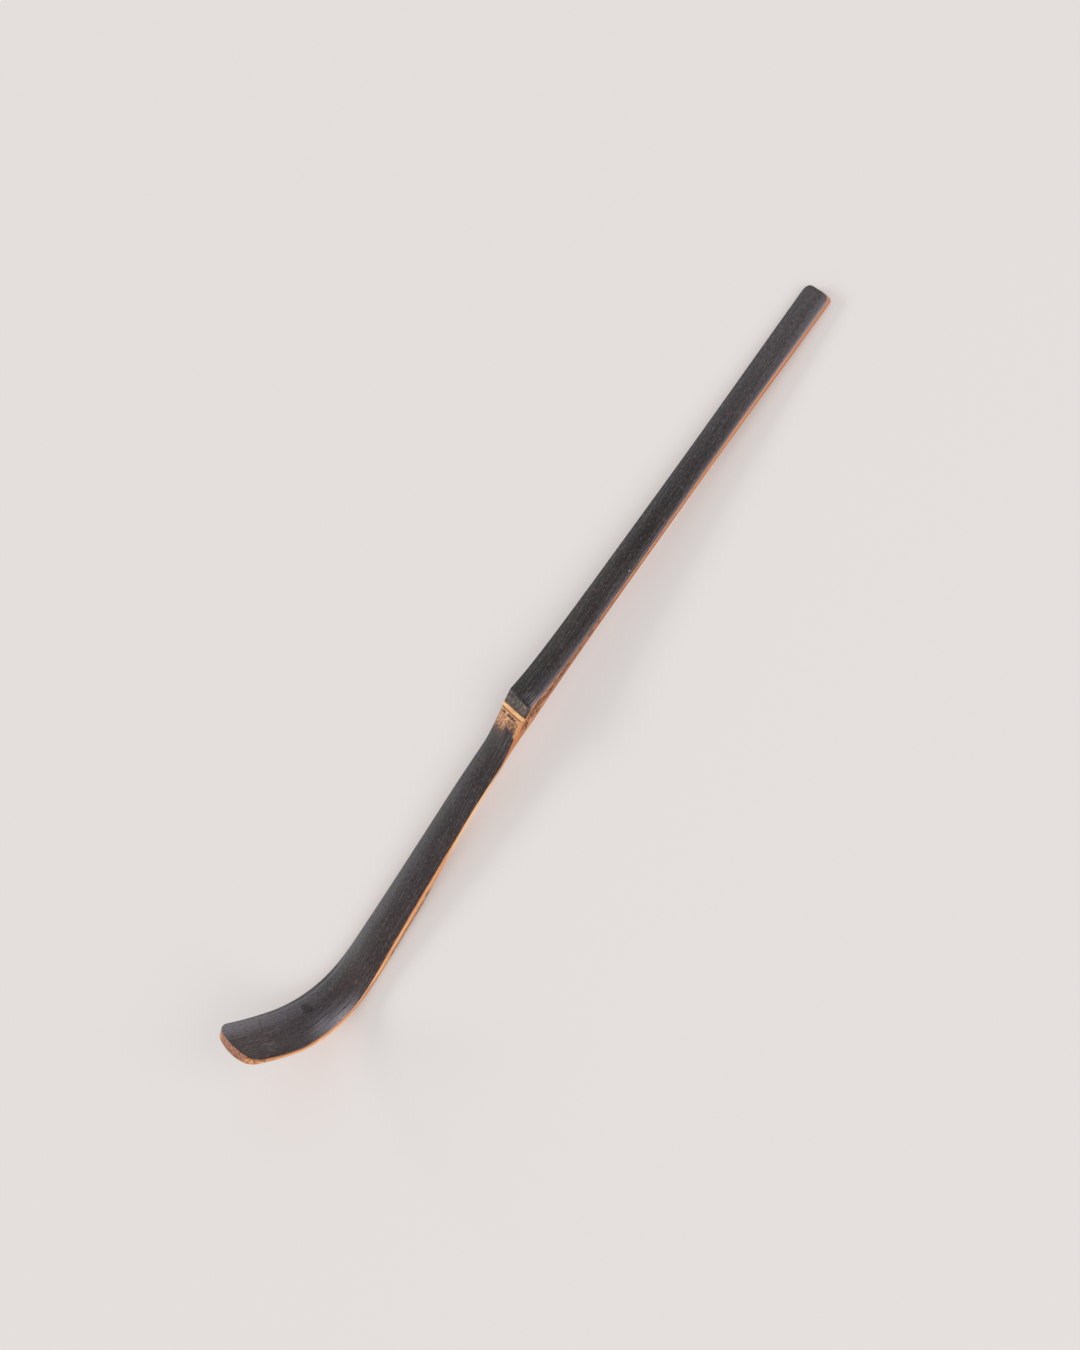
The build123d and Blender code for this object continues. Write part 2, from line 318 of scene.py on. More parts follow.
class Cut:
    """A cut across the strip at a distance from the handle end, and the strip's form there."""

    def __init__(self, place):
        self.place = place
        self.half = strip_width(place) / 2
        past = max(place - ridge, 0.0) / flank_length
        fallen = (1 - past) ** 2 * (1 + flank_bulge * past) if past < 1 else 0.0
        if place <= ridge:
            before = ridge - place
            self.rise = node_rise * exp(-before / node_reach)
            self.side = end_side + (ridge_side - end_side) * place / ridge
            self.side += (node_side - ridge_side) * exp(-before / root_reach)
            self.slant = radians(ridge_slant * exp(-before / slant_reach))
        else:
            self.rise = (node_rise + flank_dip) * fallen - dip_depth(place)
            self.side = side_depth(place) + (node_side - waist_side) * fallen
            self.slant = radians(cut_slant(place))
        self.crown = self.half**2 / 2 / culm_radius
        self.back_crown = 0.0
        if place > bend_start:
            share = hollowed(place)
            self.crown += (-bowl_hollow(place) - self.crown) * share
            self.back_crown = bowl_back(place) * share**2
        to_tip = front_length - place
        self.reach = self.half
        if place < end_corner:
            self.reach -= end_corner - sqrt(end_corner**2 - (end_corner - place) ** 2)
        elif to_tip < tip_corner:
            self.reach -= tip_corner - sqrt(max(tip_corner**2 - (tip_corner - to_tip) ** 2, 0.0))
        from_end = min(place, to_tip)
        self.inset = 0.0
        if from_end < end_rounding:
            self.inset = end_rounding - sqrt(end_rounding**2 - (end_rounding - from_end) ** 2)
        self.fall = max(1 - to_tip / crown_reach, 0.0) ** 2 * tip_crown

    def height(self, across):
        """How high the front stands over the front line."""
        return self.rise + self.crown * (1 - (across / self.half) ** 2)

    def back(self, across):
        """How deep the back lies under the front."""
        bulge = self.back_crown * (1 - (across / (self.half - back_bevel)) ** 2)
        back = self.rise - self.side - back_bevel - max(bulge, 0.0)
        bevelled = self.rise - self.side - (self.half - abs(across))
        return self.height(across) - max(back, bevelled)

    def point(self, across, depth):
        """A point of the strip, in metres."""
        thick = self.back(across)
        depth = self.inset + depth * (thick - 2 * self.inset) / thick
        height = self.height(across) - depth
        across *= 1 - self.inset / self.reach
        drop = self.fall * (across / self.half) ** 2
        middle, ahead = on_front_line(self.place - drop)
        out = Vector((ahead.z, 0, -ahead.x))
        near = Vector((0, -1, 0)) * cos(self.slant) + ahead * sin(self.slant)
        return (middle + near * across + out * height) / 1000


def lines_between(start, end, spacing):
    """Even places along the strip, both ends with them."""
    count = max(round((end - start) / spacing), 1)
    return [start + (end - start) * i / count for i in range(count + 1)]


def end_lines(end, corner, way):
    """Places that crowd towards an end, for its rounding and its corners."""
    rounding = [end_rounding * (1 - cos(pi / 2 * i / 4)) for i in range(5)]
    curved = [corner * (1 - cos(pi / 2 * i / 12)) for i in range(1, 13)]
    offsets = rounding + [offset for offset in curved if offset > end_rounding * 1.1]
    return sorted(end + way * offset for offset in offsets)


front_steps = 20
arris_steps = 4
side_steps = 7
bevel_steps = 3


def half_outline(cut, top, foot, rounding):
    """Half of an outline across the strip, from its middle over the near side to its middle."""
    points = []
    for i in range(front_steps + 1):
        points.append((i / front_steps, i / front_steps * (cut.reach - rounding), top))
    for i in range(1, arris_steps + 1):
        turn = pi / 2 * i / arris_steps
        across = cut.reach - rounding + rounding * sin(turn)
        points.append((1.0, across, top + rounding * (1 - cos(turn))))
    side_top = top + rounding
    if foot is None:
        corner = max(back_bevel - (cut.half - cut.reach), 0.0)
        inner = cut.reach - corner
        side_foot = cut.back(inner) + cut.height(cut.reach) - cut.height(inner) - corner
        for i in range(1, side_steps + 1):
            depth = side_top + (side_foot - side_top) * i / side_steps
            points.append((1.0, cut.reach, depth))
        for i in range(1, bevel_steps + 1):
            across = cut.reach - corner * i / bevel_steps
            points.append((1.0, across, cut.back(across)))
        for i in range(1, front_steps + 1):
            across = inner * (1 - i / front_steps)
            points.append((1 - i / front_steps, across, cut.back(across)))
    else:
        for i in range(1, 3):
            points.append((1.0, cut.reach, side_top + (foot - side_top) * i / 2))
        for i in range(1, front_steps + 1):
            points.append((1 - i / front_steps, cut.reach * (1 - i / front_steps), foot))
    return points


def outline(cut, top, foot, rounding, close):
    """A whole outline across the strip, drawn in towards its middle line to close an end."""
    half = half_outline(cut, top, foot, rounding)
    whole = half + [(-x, -across, depth) for x, across, depth in half[-2:0:-1]]
    closed = []
    for x, across, depth in whole:
        bottom = cut.back(across) if foot is None else foot
        middle = (top + bottom) / 2
        edge = max(cut.reach - (bottom - top) / 2, cut.reach / 2)
        closed.append((across * close + x * edge * (1 - close), middle + (depth - middle) * close))
    return closed


same_point = 2e-7
sharp_angle = radians(40)


def wrapped(name, lines, foot=None):
    """A piece wrapped out of a grid: its lines are outlines across the strip."""
    rings = []
    for place, top, rounding, close, *changes in lines:
        cut = Cut(place)
        for part, amount in changes:
            setattr(cut, part, getattr(cut, part) + amount)
        rings.append((cut, outline(cut, top, foot, rounding, close)))
    count = len(rings[0][1])
    build = bmesh.new()
    bmesh.ops.create_grid(build, x_segments=len(rings) - 1, y_segments=count, size=1)
    strip_layer = build.verts.layers.float_vector.new("strip")
    rim_layer = build.verts.layers.float_vector.new("rim")
    for corner in build.verts:
        cut, points = rings[round((corner.co.x + 1) / 2 * (len(rings) - 1))]
        across, depth = points[round((corner.co.y + 1) / 2 * count) % count]
        corner.co = cut.point(across, depth)
        corner[strip_layer] = (cut.place, across, depth)
        corner[rim_layer] = (cut.half - across, cut.half + across, cut.back(across) - depth)
    bmesh.ops.remove_doubles(build, verts=build.verts, dist=same_point)
    bmesh.ops.dissolve_degenerate(build, edges=build.edges, dist=same_point / 2)
    bmesh.ops.holes_fill(build, edges=[e for e in build.edges if e.is_boundary], sides=0)
    bmesh.ops.recalc_face_normals(build, faces=build.faces)
    mesh = bpy.data.meshes.new(name)
    build.to_mesh(mesh)
    build.free()
    mesh.shade_smooth()
    mesh.set_sharp_from_angle(angle=sharp_angle)
    piece = bpy.data.objects.new(name, mesh)
    bpy.context.collection.objects.link(piece)
    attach(piece, "root")
    return piece


skin_thickness = 0.35
scar_top = 95.05
scar_foot = 95.83
scar_depth = 0.5
patch_foot = 99.93
no_rounding = 0.002
swelling_start = 84.0
lifting_start = 148.0

# The mesh has finer lines where the form turns faster: at the node, in the bowl and at the ends
above_scar = end_lines(0.0, end_corner, 1)
above_scar += lines_between(end_corner + 0.3, swelling_start, 0.4)
above_scar += lines_between(swelling_start + 0.2, ridge - 0.6, 0.2)
above_scar += lines_between(ridge - 0.48, ridge + 0.48, 0.12)
above_scar += lines_between(ridge + 0.6, scar_top, 0.15)
below_patch = lines_between(patch_foot, lifting_start, 0.4)
below_patch += lines_between(lifting_start + 0.3, 179.6, 0.3)
below_patch += end_lines(front_length, tip_corner, -1)
lines = [(0.0, skin_thickness, no_rounding, close) for close in (0.0, 0.5)]
lines += [(place, skin_thickness, no_rounding, 1.0) for place in above_scar]
lines += [(place, scar_depth, no_rounding, 1.0) for place in (scar_top, scar_foot)]
lines += [(place, 0.0, arris_radius, 1.0) for place in lines_between(scar_foot, patch_foot, 0.2)]
lines += [(place, skin_thickness, no_rounding, 1.0) for place in below_patch]
lines += [(front_length, skin_thickness, no_rounding, close) for close in (0.5, 0.0)]
strip = wrapped("bamboo", lines)
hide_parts("bamboo_strip")


def seen(red, green, blue, gloss=0.0):
    """A colour as it looks on a screen in even light, less the light that its gloss adds."""
    parts = [((part / 255 + 0.055) / 1.055) ** 2.4 - gloss for part in (red, green, blue)]
    return (*[max(part, 0.002) for part in parts], 1.0)


class Spot:
    """Where a shaded point lies on the strip, in millimetres."""

    def __init__(self, tree):
        start = Tone(tree)
        laid = start.node("ShaderNodeAttribute", {"attribute_name": "strip"}, {}, "Vector")
        rim = start.node("ShaderNodeAttribute", {"attribute_name": "rim"}, {}, "Vector")
        self.place, self.across, self.depth = laid.split()
        self.near, self.far, self.below = rim.split()
        self.over = self.across.math("DIVIDE", self.across, (self.far + self.near) * 0.5)

    def joined(self, along, wide, deep):
        """A vector from its three parts."""
        return self.place.node("ShaderNodeCombineXYZ", {}, {0: along, 1: wide, 2: deep})

    def scaled(self, long, wide, deep, lean=0.0):
        """The spot measured in grains so long, wide and deep, which may lean across."""
        across = (self.across - self.place * lean) * (1 / wide)
        return self.joined(self.place * (1 / long), across, self.depth * (1 / deep))

    def noise(self, long, wide, deep, detail=2.0, lean=0.0):
        """Soft noise about a half, with grains so long, wide and deep."""
        inputs = {"Vector": self.scaled(long, wide, deep, lean), "Scale": 1.0, "Detail": detail}
        return self.place.node("ShaderNodeTexNoise", {}, inputs)

    def dashes(self, long, wide, deep, share):
        """1 inside short dashes, which fill about this share of their places."""
        inputs = {"Vector": self.scaled(long, wide, deep), "Scale": 1.0}
        away = self.place.node("ShaderNodeTexVoronoi", {}, inputs, "Distance")
        pick = self.place.node("ShaderNodeTexVoronoi", {}, inputs, "Color").split()[0]
        return away.stepped(0.5, 0.3) * pick.stepped(share + 0.02, share - 0.02)

    def graded(self, *known):
        """A colour or a number up to 1 that changes along the strip, by where it is known."""
        stops = []
        for place, value in known:
            colour = value if isinstance(value, tuple) else (value, value, value, 1.0)
            stops.append((place / 183, colour))
        return self.place.node("ShaderNodeValToRGB", {"stops": stops}, {0: self.place * (1 / 183)})

    def blot(self, place, across, long, wide, soft=0.3):
        """1 in an oval mark on the front and 0 outside it."""
        along = (self.place - place) * (1 / long)
        reach = self.joined(along, (self.across - across) * (1 / wide), 0.0)
        away = self.place.node("ShaderNodeVectorMath", {"operation": "LENGTH"}, {0: reach}, "Value")
        return away.stepped(1 + soft, 1 - soft)

    def band(self, start, end, soft=0.1):
        """1 from one place along the strip to another."""
        after = self.place.stepped(start - soft, start + soft)
        return after * self.place.stepped(end + soft, end - soft)


def bare_wood(spot):
    """The planed wood: its colour, how rough it is and how high its fibres stand."""
    streak = spot.noise(22.0, 0.24, 0.2, 3.0).stepped(0.36, 0.66)
    lower = spot.place.stepped(97.5, 100.5)
    darker = spot.graded(
        (0, seen(188, 124, 90)), (20, seen(196, 124, 84)), (40, seen(190, 122, 84)),
        (60, seen(172, 106, 74)), (76, seen(146, 90, 66)), (86, seen(150, 98, 74)),
        (91, seen(170, 112, 82)), (97, seen(192, 126, 84)), (102, seen(190, 118, 74)),
        (114, seen(198, 128, 84)), (122, seen(214, 142, 92)),
        (150, seen(222, 154, 104)), (162, seen(216, 148, 98)), (167, seen(196, 128, 82)),
        (172, seen(214, 146, 98)), (182, seen(206, 140, 92)),
    )
    lighter = spot.graded(
        (0, seen(212, 156, 118)), (40, seen(222, 158, 112)), (60, seen(214, 154, 110)),
        (76, seen(186, 130, 98)), (86, seen(200, 144, 110)), (91, seen(218, 160, 118)),
        (97, seen(224, 162, 114)), (102, seen(214, 148, 98)), (114, seen(224, 162, 110)),
        (122, seen(236, 174, 120)), (150, seen(246, 190, 138)),
        (182, seen(236, 182, 128)),
    )
    colour = streak.mixed(darker, lighter)
    salmon = spot.depth.stepped(0.62, 0.42) * spot.place.stepped(93, 90)
    colour = (salmon * 0.7).mixed(colour, seen(200, 142, 120))
    under_skin = spot.depth.stepped(0.86, 0.62) * lower
    colour = (under_skin * 0.7).mixed(colour, seen(186, 112, 74))
    side = spot.near.math("MINIMUM", spot.near, spot.far).stepped(0.62, 0.3)
    outer = spot.below.stepped(0.62, 0.45) * side
    colour = (outer * (1 - lower) * 0.4).mixed(colour, seen(170, 106, 70))
    colour = (outer * spot.band(108, 124, 3.0) * 0.8).mixed(colour, seen(252, 206, 150))
    # Painted shade: a mottled darker band low on the sides of the throat, where the deep side turns
    # down away from the light.
    shaded_low_side = spot.depth.stepped(1.2, 1.5) * spot.band(129.0, 149.0, 4.0) * (0.25 + side * 0.75)
    mottle = spot.noise(1.5, 0.36, 0.34, 3.0).stepped(0.36, 0.62)
    low_side_shade = mottle.mixed(seen(104, 76, 64), seen(196, 148, 116))
    colour = (shaded_low_side * 0.9).mixed(colour, low_side_shade)
    bowl_edge = spot.band(150, 158, 3.0) * spot.below.stepped(0.56, 0.46)
    colour = (bowl_edge * 0.5).mixed(colour, seen(150, 98, 70))
    scorched = spot.band(169.0, 175.0, 2.0) * spot.depth.stepped(0.75, 0.5)
    colour = (scorched * 0.7).mixed(colour, seen(104, 66, 48))
    rows = spot.noise(1.5, 0.8, 0.36, 2.0).stepped(0.51, 0.55) * spot.depth.stepped(0.55, 0.7)
    rows = rows * spot.graded((0, 0.1), (36, 0.25), (48, 0.45), (70, 0.9), (97, 0.9), (99, 0.0))
    rows = rows * spot.below.stepped(0.4, 0.5)
    colour = rows.mixed(colour, seen(92, 56, 44))
    share = spot.depth.math("DIVIDE", spot.depth, spot.depth + spot.below)
    vein = share.stepped(0.33, 0.37) * share.stepped(0.44, 0.4)
    vein = vein + share.stepped(0.5, 0.53) * share.stepped(0.6, 0.56)
    vein = vein * spot.band(89.0, 96.8, 1.5) * spot.noise(0.7, 0.8, 0.8, 2.0).stepped(0.3, 0.42)
    colour = (vein * 0.95).mixed(colour, seen(78, 48, 42))
    cross = spot.noise(0.26, 0.8, 0.4, 2.0).stepped(0.5, 0.56) * spot.band(78.0, 97.0, 3.0)
    cross = cross * spot.depth.stepped(0.6, 0.85) * spot.below.stepped(0.4, 0.6)
    colour = (cross * 0.5).mixed(colour, seen(96, 62, 52))
    by_tip = spot.noise(0.8, 0.5, 0.4, 2.0).stepped(0.48, 0.56) * spot.place.stepped(174, 179)
    colour = (by_tip * 0.6).mixed(colour, seen(120, 74, 54))
    back = spot.below.stepped(0.06, 0.02) * (1 - side)
    vessels = spot.noise(4.0, 0.24, 0.4, 2.0).stepped(0.54, 0.6) * back
    colour = (vessels * 0.5).mixed(colour, seen(122, 80, 56))
    cloud = spot.noise(9.0, 1.2, 0.5).stepped(0.5, 0.75)
    colour = (cloud * 0.3).mixed(colour, seen(140, 88, 60))
    lines = spot.noise(30.0, 0.12, 0.12, 1.0).stepped(0.58, 0.7)
    colour = (lines * 0.3).mixed(colour, seen(134, 84, 60))
    ends = spot.place.stepped(front_length - 0.03, front_length - 0.005)
    ends = ends + spot.place.stepped(0.03, 0.005)
    grain = spot.noise(1.0, 0.34, 0.26, 3.0).stepped(0.36, 0.62)
    cut_end = grain.mixed(seen(128, 80, 60), seen(190, 134, 106))
    pores = spot.dashes(1.0, 0.22, 0.2, 0.35)
    cut_end = (pores * 0.6).mixed(cut_end, seen(84, 52, 42))
    colour = ends.mixed(colour, cut_end)
    rough = 0.5 + spot.noise(4.0, 0.2, 0.2) * 0.2
    height = streak * 0.5 - rows * 0.5 + spot.noise(6.0, 0.1, 0.1) * 0.5 + ends * grain
    return colour, rough, height


def smoked_skin(spot):
    """The smoked skin: its colour with sheen and shade painted in, how rough it is and how high its
    grain stands.
    """
    gloss = 0.026
    # Across the front the tones are partly the skin's own colour and partly painted sheen. The
    # lighter far and near sides stand for light glancing off the curved front. The bright bluish
    # patch on the near side of the bowl is a painted highlight.
    far_side = spot.graded(
        (0, seen(84, 82, 85, gloss)), (37, seen(73, 72, 74, gloss)), (75, seen(63, 62, 60, gloss)),
        (91, seen(61, 61, 60, gloss)), (105, seen(72, 70, 70, gloss)),
        (118, seen(76, 74, 75, gloss)), (130, seen(80, 78, 81, gloss)),
        (150, seen(87, 85, 87, gloss)), (158, seen(86, 86, 87, gloss)),
        (164, seen(98, 96, 99, gloss)), (170, seen(110, 106, 111, gloss)),
        (182, seen(128, 124, 129, gloss)),
    )
    middle = spot.graded(
        (0, seen(84, 79, 80, gloss)), (28, seen(69, 64, 65, gloss)), (42, seen(56, 53, 53, gloss)),
        (55, seen(51, 47, 46, gloss)), (75, seen(55, 50, 49, gloss)), (91, seen(57, 56, 55, gloss)),
        (101, seen(63, 57, 57, gloss)), (108, seen(57, 51, 52, gloss)),
        (130, seen(60, 54, 55, gloss)), (150, seen(63, 55, 55, gloss)),
        (157, seen(66, 58, 57, gloss)), (164, seen(76, 71, 73, gloss)),
        (170, seen(77, 70, 72, gloss)), (182, seen(77, 68, 68, gloss)),
    )
    near_side = spot.graded(
        (0, seen(112, 107, 109, gloss)), (14, seen(98, 93, 96, gloss)),
        (28, seen(88, 82, 84, gloss)), (40, seen(72, 68, 69, gloss)), (75, seen(80, 73, 73, gloss)),
        (90, seen(82, 79, 82, gloss)), (97, seen(78, 72, 72, gloss)),
        (105, seen(68, 61, 61, gloss)), (150, seen(72, 63, 62, gloss)),
        (155, seen(82, 74, 74, gloss)), (159, seen(130, 124, 130, gloss)),
        (161, seen(144, 138, 145, gloss)), (165, seen(122, 118, 123, gloss)),
        (169, seen(78, 72, 75, gloss)),
        (175, seen(63, 55, 56, gloss)), (182, seen(70, 58, 56, gloss)),
    )
    left = spot.over.stepped(-0.1, -0.85)
    right = spot.over.stepped(0.3, 0.95)
    colour = right.mixed(left.mixed(middle, far_side), near_side)
    grain = spot.noise(0.75, 0.19, 0.4, 3.0, 0.06)
    streaks = spot.noise(12.0, 0.3, 0.4, 2.0, 0.03)
    colour = (grain.stepped(0.5, 0.72) * 0.32).mixed(colour, seen(124, 118, 118))
    colour = (grain.stepped(0.5, 0.3) * 0.75).mixed(colour, seen(22, 20, 21))
    colour = (streaks.stepped(0.5, 0.7) * 0.1).mixed(colour, seen(118, 114, 116))
    colour = (streaks.stepped(0.5, 0.3) * 0.25).mixed(colour, seen(24, 22, 23))
    clusters = spot.noise(5.0, 1.6, 1.0).stepped(0.42, 0.6)
    flecks = spot.dashes(0.9, 0.22, 0.4, 0.26) * clusters
    colour = (flecks * 0.5).mixed(colour, seen(112, 84, 74))
    scratches = spot.noise(7.0, 0.2, 0.3, 1.0, 0.08).stepped(0.6, 0.68)
    colour = (scratches * 0.12).mixed(colour, seen(160, 154, 158))
    fine = spot.noise(6.0, 0.13, 0.3, 1.0, 0.02).stepped(0.54, 0.64)
    by_crest = spot.band(90.3, 92.0, 0.9) * spot.over.stepped(0.1, 0.4)
    colour = (fine * by_crest * 0.65).mixed(colour, seen(168, 162, 168))

    # A lighter line just inside the bowl's far rim: partly wear on the rim, partly a painted
    # highlight on its rounded edge.
    rim_place = spot.far - spot.graded((0, 0.0), (148, 0.1), (156, 1.0), (170, 0.75), (182, 0.6))
    rim = rim_place.stepped(-0.3, 0.0) * rim_place.stepped(0.35, 0.05)
    rim = rim * spot.place.stepped(148, 154)
    colour = (rim * 0.32).mixed(colour, seen(132, 130, 138))
    # Painted shade: dark lines along the folds of the bent bowl, where the creases fall into shade.
    # The creases also dip the bump.
    crease = spot.noise(16.0, 0.34, 0.4, 1.0, 0.05).stepped(0.56, 0.66)
    crease = crease * spot.band(155.0, 167.0, 3.0)
    colour = (crease * spot.over.stepped(-0.1, 0.2) * 0.42).mixed(colour, seen(34, 31, 33))
    fold_shade = spot.across - 3.6 + (spot.place - 161.0) * 0.06
    fold_shade = fold_shade.stepped(-0.3, -0.06) * fold_shade.stepped(0.3, 0.06)
    fold_shade = fold_shade * spot.band(158.0, 164.5, 1.5)
    colour = (fold_shade * 0.6).mixed(colour, seen(32, 29, 31))
    # Painted sheen: a pale bluish patch on the near flank of the bend, where light glances off,
    # with a few painted glints in it.
    painted_sheen = spot.noise(9.0, 0.26, 0.4, 2.0, 0.05).stepped(0.5, 0.68)
    painted_sheen = painted_sheen * spot.blot(162.0, 3.6, 4.4, 2.8, 0.6)
    colour = (painted_sheen * 0.6).mixed(colour, seen(150, 146, 156))
    painted_glints = spot.noise(0.5, 0.36, 0.4, 1.0).stepped(0.52, 0.62)
    painted_glints = painted_glints * spot.blot(161.0, 4.9, 1.5, 1.0, 0.5)
    colour = (painted_glints * 0.5).mixed(colour, seen(176, 164, 170))
    oval = spot.blot(164.15, -1.9, 0.85, 1.35, 0.45)
    oval = oval * (0.7 + spot.noise(0.7, 0.9, 1.0).stepped(0.4, 0.6) * 0.3)
    colour = (oval * 0.8).mixed(colour, seen(28, 27, 27))
    arc = spot.place - 173.2 - (spot.across + 4.6) * 0.5
    arc = arc.stepped(-0.4, -0.05) * arc.stepped(0.4, 0.05)
    arc = arc * spot.blot(173.8, -3.5, 1.4, 1.4, 0.4)
    colour = (arc * 0.35).mixed(colour, seen(36, 34, 36))
    rusty = spot.blot(154.3, 1.9, 0.5, 0.35, 0.5) + spot.blot(99.9, -1.0, 1.0, 1.6, 0.6) * 0.5
    colour = (rusty * 0.5).mixed(colour, seen(120, 82, 68))
    browned = spot.blot(177.0, 3.6, 4.5, 3.0, 0.8) + spot.blot(156.5, 0.8, 3.6, 1.8, 0.8)
    colour = (browned * 0.3).mixed(colour, seen(52, 36, 32))
    worn = spot.noise(2.0, 0.8, 1.0, 3.0).stepped(0.42, 0.62)
    worn = worn * spot.blot(175.9, 2.6, 1.4, 1.8, 0.7)
    colour = (worn * 0.35).mixed(colour, seen(124, 118, 120))
    slanting = spot.noise(2.4, 0.3, 0.4, 2.0, 0.5).stepped(0.54, 0.66)
    slanting = slanting * spot.band(171.0, 183.0, 2.5)
    colour = (slanting * 0.25).mixed(colour, seen(128, 118, 116))
    chips = spot.blot(61.9, 2.55, 0.14, 0.12) + spot.blot(166.5, 1.4, 0.12, 0.1) * 0.4
    colour = (chips * 0.7).mixed(colour, seen(196, 190, 188))

    flank = spot.band(92.6, 95.3, 0.1)
    rubbed = spot.noise(0.9, 0.2, 0.3, 3.0)
    flank_colour = spot.over.stepped(0.0, 0.9)
    flank_colour = flank_colour.mixed(seen(84, 76, 72, gloss), seen(108, 94, 87, gloss))
    flank_colour = (rubbed.stepped(0.48, 0.66) * 0.6).mixed(flank_colour, seen(158, 144, 134))
    flank_colour = (rubbed.stepped(0.5, 0.32) * 0.7).mixed(flank_colour, seen(32, 27, 25))
    flank_low = spot.place.stepped(94.2, 95.0) * 0.45 + spot.near.stepped(0.3, 0.05) * 0.6
    flank_colour = flank_low.mixed(flank_colour, seen(56, 44, 38))
    colour = flank.mixed(colour, flank_colour)
    # Painted shadow: a dark line along the crest, heaviest on the near side, where the crest
    # overhangs the flank.
    crest = spot.band(92.4, 92.78, 0.12) * (0.4 + spot.over.stepped(-0.7, 0.3) * 0.6)
    crest = crest * spot.noise(0.5, 0.5, 0.5).stepped(0.2, 0.45)
    colour = crest.mixed(colour, seen(30, 27, 27))

    # A paler mauve line along the near edge of the front: partly wear, partly a painted highlight
    # on the rounded edge. It is strongest at the handle end.
    near_arris = spot.graded((0, 0.7), (20, 0.45), (60, 0.22), (90, 0.35), (92, 0.4), (93, 0.0))
    near_arris = near_arris * spot.near.stepped(0.42, 0.1)
    colour = near_arris.mixed(colour, seen(140, 131, 140))
    far_arris = spot.far.stepped(0.26, 0.08)
    colour = (far_arris * 0.5).mixed(colour, seen(34, 37, 46))
    rough = 0.42 + grain * 0.14 + flank * 0.15
    height = grain * 0.6 + scratches * -0.5 + flank * rubbed + streaks * 0.3 - crease * 0.5
    return colour, rough, height


def shaved_patch(spot):
    """The shaved patch under the scar: where it is, and its wood, mottled brown, with a painted
    shadow below the scar.
    """
    early = spot.across.stepped(-0.8, 0.8) * spot.across.stepped(2.9, 2.0)
    tongues = (spot.noise(0.9, 0.5, 5.0, 3.0) - 0.5) * 3.6
    inside = 99.7 - early * 1.3 + tongues - spot.place
    shaved = inside.stepped(-0.3, 0.5) * spot.place.stepped(94.9, 95.0)
    clouds = spot.noise(0.8, 0.5, 5.0, 3.0).stepped(0.4, 0.6)
    colour = clouds.mixed(seen(224, 170, 126), seen(176, 122, 88))
    towards = inside.stepped(2.8, 0.2) * 0.16 + spot.across.stepped(-0.5, 1.0) * 0.04
    specks = (spot.noise(0.45, 0.32, 5.0, 2.0) + towards).stepped(0.58, 0.66)
    colour = (specks * 0.7).mixed(colour, seen(92, 64, 51))
    dots = spot.dashes(0.5, 0.34, 5.0, 0.45) * inside.stepped(2.6, 1.2)
    colour = (dots * 0.75).mixed(colour, seen(74, 52, 44))
    row = spot.band(96.36, 96.78, 0.12) * spot.over.stepped(0.6, 0.45)
    row = row * spot.noise(0.8, 0.42, 5.0, 1.0).stepped(0.38, 0.44)
    colour = (row * 0.95).mixed(colour, seen(36, 30, 30))
    # Painted shadow: a brown line just below the scar, where the proud bar shades the wood.
    shadow_under_scar = spot.place.stepped(96.22, 96.0)
    colour = (shadow_under_scar * 0.75).mixed(colour, seen(150, 88, 48))
    edge = spot.near.stepped(0.45, 0.25)
    colour = (edge * 0.6).mixed(colour, seen(234, 168, 106))
    return shaved, colour


def empty_paint(name):
    """A new material with no nodes yet, and the spot that it shades."""
    paint = bpy.data.materials.new(name)
    paint.use_nodes = True
    paint.node_tree.nodes.clear()
    return paint, Spot(paint.node_tree)


def coated(spot, colour, rough, height, lift=0.03, strength=0.5, specular=0.5):
    """The surface that a material ends in. Its height is lifted by so many millimetres."""
    bump = {"Strength": strength, "Distance": lift / 1000, "Height": height}
    inputs = {
        "Base Color": colour,
        "Roughness": rough,
        "Normal": spot.place.node("ShaderNodeBump", {}, bump),
        "Specular IOR Level": specular,
    }
    surface = spot.place.node("ShaderNodeBsdfPrincipled", {}, inputs)
    spot.place.node("ShaderNodeOutputMaterial", {}, {"Surface": surface})


def bamboo_paint(name):
    """Bare wood, smoked dark on its front and a little down its sides, but for the patch."""
    paint, spot = empty_paint(name)
    wood, wood_rough, wood_height = bare_wood(spot)
    skin, skin_rough, skin_height = smoked_skin(spot)
    shaved, patch_colour = shaved_patch(spot)
    wood = (spot.depth.stepped(0.12, 0.04) * shaved).mixed(wood, patch_colour)
    stained_depth = spot.graded(
        (0, 0.28), (10, 0.2), (24, 0.18), (42, 0.32), (60, 0.42), (80, 0.4), (86, 0.42),
        (90, 0.5), (92, 0.5), (93, 0.62), (95, 0.62), (95.6, 0.1), (100, 0.12), (105, 0.72),
        (114, 0.52), (136, 0.44), (147, 0.5), (154, 0.68), (160, 0.5), (166, 0.34), (176, 0.4),
        (182, 0.3),
    )
    ragged = spot.graded((0, 0.12), (95, 0.15), (104, 0.3), (182, 0.2))
    ragged = (spot.noise(1.2, 0.5, 0.5, 3.0) - 0.5) * ragged
    inside = stained_depth + ragged - spot.depth
    dark = inside.stepped(-0.05, 0.05) * (1 - shaved)
    off_ends = spot.place.stepped(0.02, 0.1)
    off_ends = off_ends * spot.place.stepped(front_length - 0.02, front_length - 0.1)
    dark = dark * dark.math("MAXIMUM", off_ends, spot.depth.stepped(0.12, 0.05))
    colour = dark.mixed(wood, skin)
    rough = wood_rough + (skin_rough - wood_rough) * dark
    height = wood_height + (skin_height - wood_height) * dark
    coated(spot, colour, rough, height, specular=0.28)
    return paint


strip.data.materials.append(bamboo_paint("planed_bamboo"))

